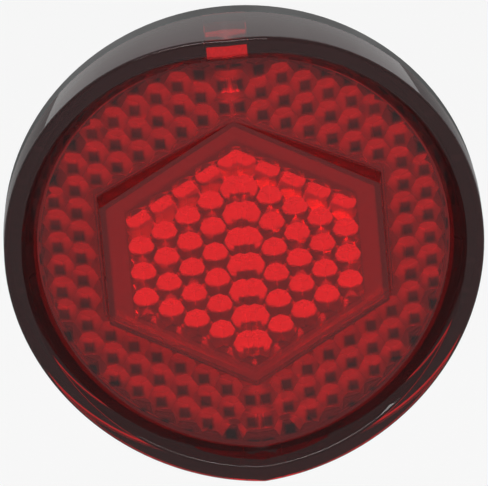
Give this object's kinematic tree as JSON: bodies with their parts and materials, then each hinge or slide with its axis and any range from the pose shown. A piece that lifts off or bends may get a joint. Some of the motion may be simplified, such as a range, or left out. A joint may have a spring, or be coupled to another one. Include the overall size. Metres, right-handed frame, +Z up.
{
  "type": "bicycle rear reflector",
  "caption": "Round red bicycle rear reflector: a clear cap with cube-corner prisms, a raised hexagon and a rim, on a black backing with a threaded stud, washers and a nut.",
  "frame": {"origin": "on the stud's axis, in the plane of the hub's flat seat, where the bracket meets the reflector", "axes": "+Z up, along the upright ridge of the face; the reflecting face looks along -Y; the stud points along +Y; +X is to the right as seen from the front"},
  "size_m": [0.06, 0.035, 0.06],
  "materials": {
    "lens": "clear red, polished",
    "shell": "satin black, as moulded",
    "steel": "bright zinc plate"
  },
  "bodies": {
    "root": {"lens": "lens", "rear_shell": "shell", "stud": "steel", "plain_washer": "steel", "lock_washer": "steel", "hex_nut": "steel"}
  },
  "joints": []
}
